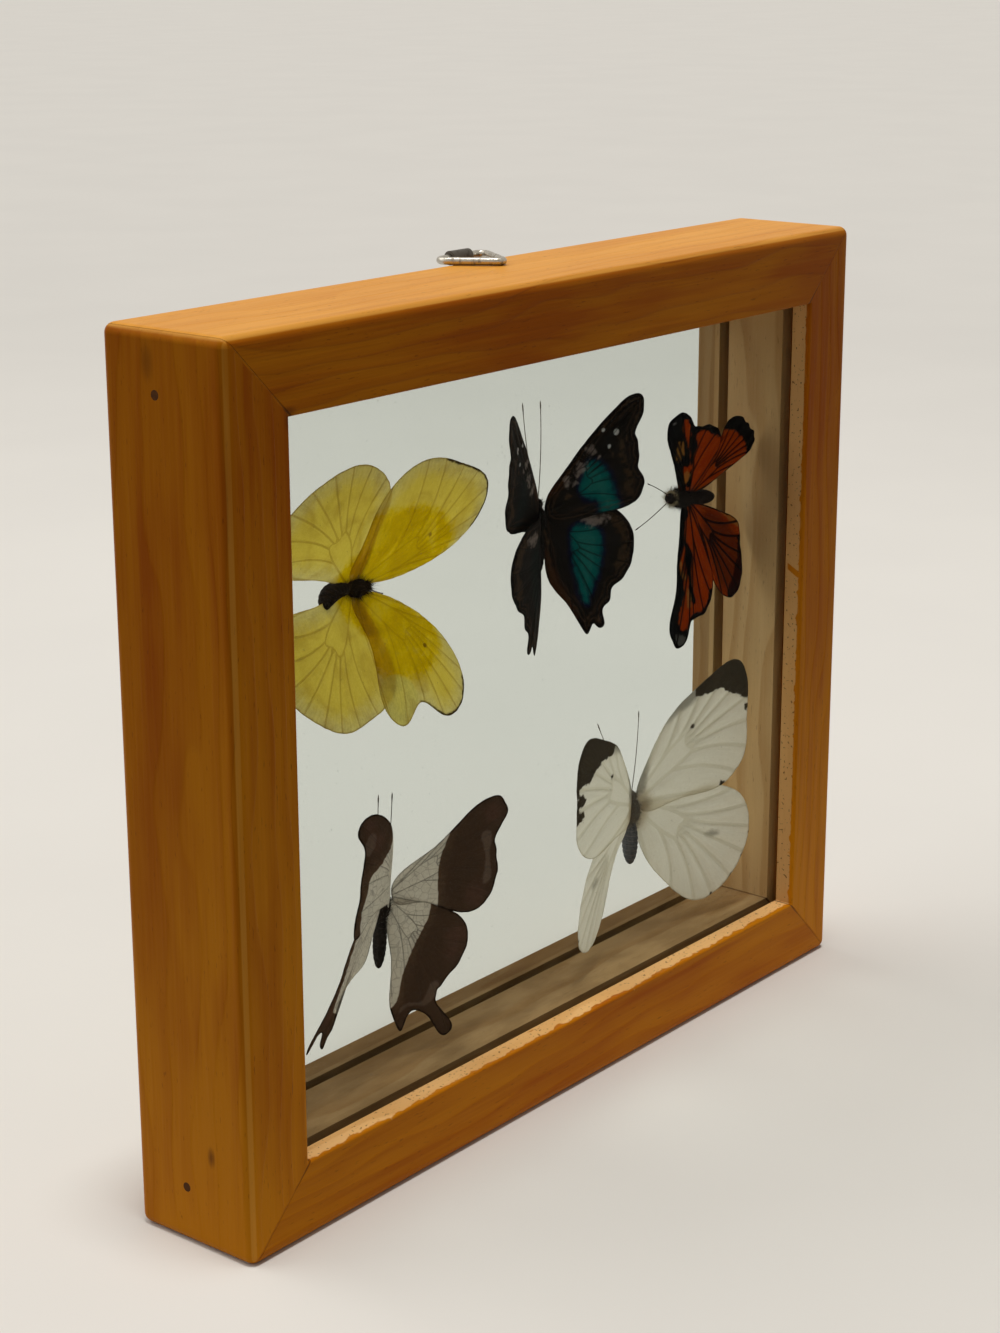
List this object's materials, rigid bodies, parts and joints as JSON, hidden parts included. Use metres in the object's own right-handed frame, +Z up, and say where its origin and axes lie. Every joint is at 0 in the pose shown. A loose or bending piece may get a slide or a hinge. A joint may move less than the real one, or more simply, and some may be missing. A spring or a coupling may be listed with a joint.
{
  "type": "butterfly display case",
  "caption": "Free-standing mitred wooden frame with two glass panes, butterflies set between them, and a hinged wire hanging ring on top.",
  "frame": {"origin": "middle of the base the case stands on", "axes": "+Z up, +X along the width to the right seen from the front, +Y from the front to the back"},
  "size_m": [0.203, 0.0335, 0.1794],
  "materials": {
    "pine": "honey stained and varnished, bare inside the window",
    "window_glass": "clear float glass",
    "brad_steel": "darkened wire",
    "hanger_steel": "plated, slightly dulled",
    "glue": "clear amber glue",
    "insect_body": "short dark hair",
    "turquoise_wing": "scaled, dark with turquoise patches",
    "yellow_wing": "scaled, translucent yellow",
    "orange_wing": "scaled, orange with black veins and tips",
    "white_wing": "scaled, greenish white with dark tips",
    "brown_wing": "scaled, pale at the base and brown outside"
  },
  "bodies": {
    "case": {"top_rail": "pine", "bottom_rail": "pine", "left_stile": "pine", "right_stile": "pine", "front_pane": "window_glass", "back_pane": "window_glass", "corner_brads": "brad_steel", "hanger_strap": "hanger_steel", "hanger_screws": "hanger_steel", "glue_dots": "glue", "turquoise_body": "insect_body", "turquoise_antennae": "insect_body", "turquoise_left_forewing": "turquoise_wing", "turquoise_right_forewing": "turquoise_wing", "turquoise_left_hindwing": "turquoise_wing", "turquoise_right_hindwing": "turquoise_wing", "yellow_body": "insect_body", "yellow_antennae": "insect_body", "yellow_upper_forewing": "yellow_wing", "yellow_lower_forewing": "yellow_wing", "yellow_upper_hindwing": "yellow_wing", "yellow_lower_hindwing": "yellow_wing", "orange_body": "insect_body", "orange_antennae": "insect_body", "orange_upper_forewing": "orange_wing", "orange_lower_forewing": "orange_wing", "orange_upper_hindwing": "orange_wing", "orange_lower_hindwing": "orange_wing", "white_body": "insect_body", "white_antennae": "insect_body", "white_left_forewing": "white_wing", "white_right_forewing": "white_wing", "white_left_hindwing": "white_wing", "white_right_hindwing": "white_wing", "brown_body": "insect_body", "brown_antennae": "insect_body", "brown_left_forewing": "brown_wing", "brown_right_forewing": "brown_wing", "brown_left_hindwing": "brown_wing", "brown_right_hindwing": "brown_wing"},
    "ring": {"hanger_ring": "hanger_steel"}
  },
  "joints": [
    {"name": "ring_swing", "type": "hinge", "parent": "case", "child": "ring", "pos_m": [0, 0.01673, 0.1779], "axis": [-1, 0, 0], "range_deg": [0, 250]}
  ]
}
